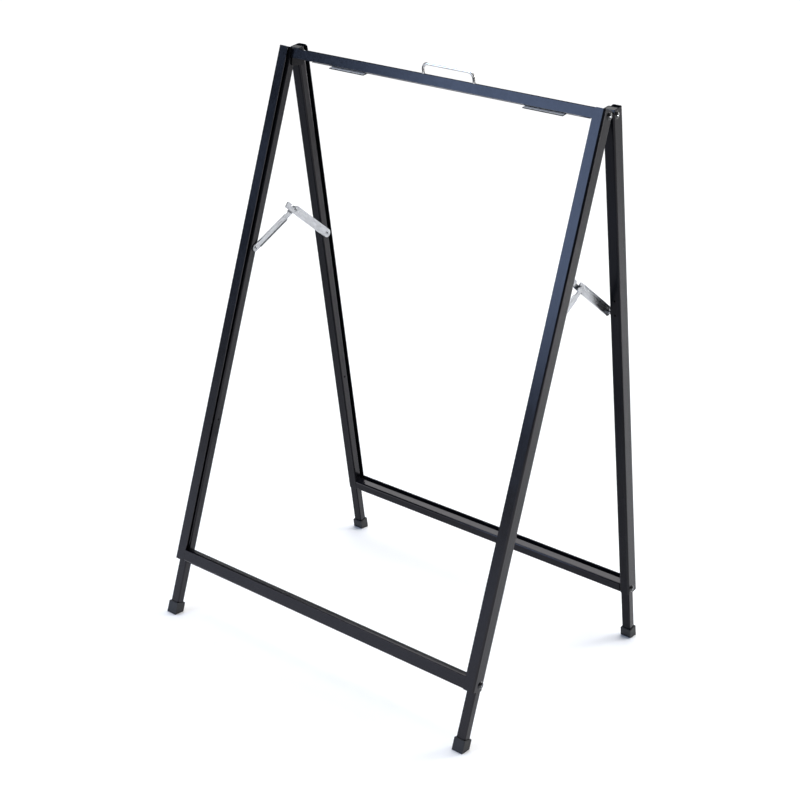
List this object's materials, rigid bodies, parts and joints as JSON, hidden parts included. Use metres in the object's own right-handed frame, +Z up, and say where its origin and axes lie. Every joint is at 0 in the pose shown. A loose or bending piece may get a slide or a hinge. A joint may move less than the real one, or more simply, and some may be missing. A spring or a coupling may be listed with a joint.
{
  "type": "sign stand",
  "caption": "Folding A-shaped floor stand with two slide-in panel frames, top hinge plates, locking stays on both sides and a wire carrying handle.",
  "frame": {"origin": "on the floor under the middle of the stand, half-way between the two frames", "axes": "+X across the stand, +Y from the front frame to the rear frame, +Z up"},
  "size_m": [0.6228, 0.4828, 0.9323],
  "materials": {
    "black_powder_coat": "satin powder coat",
    "black_hardware": "glossy black",
    "zinc_plate": "bright zinc plate",
    "zinc_hardware": "bright zinc plate",
    "bright_chrome": "polished",
    "black_rubber": "moulded matt",
    "black_plastic": "moulded matt"
  },
  "bodies": {
    "front_frame": {"front_left_upright_tube": "black_powder_coat", "front_left_upright_retainer": "black_powder_coat", "front_left_leg": "black_powder_coat", "front_left_foot": "black_rubber", "front_right_upright_tube": "black_powder_coat", "front_right_upright_retainer": "black_powder_coat", "front_right_leg": "black_powder_coat", "front_right_foot": "black_rubber", "front_bottom_rail_tube": "black_powder_coat", "front_bottom_rail_retainer": "black_powder_coat", "front_top_bar": "black_powder_coat", "front_hinge_bolts": "black_hardware", "front_hinge_nuts": "zinc_hardware", "front_leg_screws": "black_hardware", "front_end_plugs": "black_plastic", "front_stay_rivets": "zinc_hardware"},
    "rear_frame": {"rear_left_upright_tube": "black_powder_coat", "rear_left_upright_retainer": "black_powder_coat", "rear_left_leg": "black_powder_coat", "rear_left_foot": "black_rubber", "rear_right_upright_tube": "black_powder_coat", "rear_right_upright_retainer": "black_powder_coat", "rear_right_leg": "black_powder_coat", "rear_right_foot": "black_rubber", "rear_bottom_rail_tube": "black_powder_coat", "rear_bottom_rail_retainer": "black_powder_coat", "rear_top_bar": "black_powder_coat", "rear_hinge_bolts": "black_hardware", "rear_hinge_nuts": "zinc_hardware", "rear_leg_screws": "black_hardware", "rear_end_plugs": "black_plastic", "carry_handle": "bright_chrome", "handle_nuts": "zinc_hardware", "rear_ledge_tabs": "black_powder_coat"},
    "left_hinge_plate": {"left_hinge_plate": "black_powder_coat"},
    "left_front_arm": {"left_front_arm": "zinc_plate"},
    "left_rear_arm": {"left_rear_arm": "zinc_plate", "left_elbow_rivet": "zinc_hardware", "left_rear_rivet": "zinc_hardware"},
    "right_hinge_plate": {"right_hinge_plate": "black_powder_coat"},
    "right_front_arm": {"right_front_arm": "zinc_plate"},
    "right_rear_arm": {"right_rear_arm": "zinc_plate", "right_elbow_rivet": "zinc_hardware", "right_rear_rivet": "zinc_hardware"}
  },
  "joints": [
    {"name": "fold", "type": "hinge", "parent": "front_frame", "child": "left_hinge_plate", "pos_m": [-0.2882, -0.00957, 0.9086], "axis": [-1, 0, 0], "range_deg": [0, 13.8]},
    {"name": "rear_frame_hinge", "type": "hinge", "parent": "left_hinge_plate", "child": "rear_frame", "pos_m": [-0.2882, 0.00957, 0.9086], "axis": [-1, 0, 0], "range_deg": [0, 13.8]},
    {"name": "right_plate_hinge", "type": "hinge", "parent": "front_frame", "child": "right_hinge_plate", "pos_m": [0.2882, -0.00957, 0.9086], "axis": [-1, 0, 0], "range_deg": [0, 13.8]},
    {"name": "left_stay_pivot", "type": "hinge", "parent": "front_frame", "child": "left_front_arm", "pos_m": [-0.28815, -0.08196, 0.60047], "axis": [1, 0, 0], "range_deg": [0, 39.67]},
    {"name": "left_stay_elbow", "type": "hinge", "parent": "left_front_arm", "child": "left_rear_arm", "pos_m": [-0.28315, 0, 0.65328], "axis": [-1, 0, 0], "range_deg": [0, 106.92]},
    {"name": "right_stay_pivot", "type": "hinge", "parent": "front_frame", "child": "right_front_arm", "pos_m": [0.28815, -0.08196, 0.60047], "axis": [1, 0, 0], "range_deg": [0, 39.67]},
    {"name": "right_stay_elbow", "type": "hinge", "parent": "right_front_arm", "child": "right_rear_arm", "pos_m": [0.28315, 0, 0.65328], "axis": [-1, 0, 0], "range_deg": [0, 106.92]}
  ],
  "couplings": [
    {"joint": "rear_frame_hinge", "follows": "fold", "ratio": 1},
    {"joint": "right_plate_hinge", "follows": "fold", "ratio": 1},
    {"joint": "left_stay_pivot", "follows": "fold", "ratio": 2.8737},
    {"joint": "left_stay_elbow", "follows": "fold", "ratio": 7.7474},
    {"joint": "right_stay_pivot", "follows": "fold", "ratio": 2.8737},
    {"joint": "right_stay_elbow", "follows": "fold", "ratio": 7.7474}
  ]
}
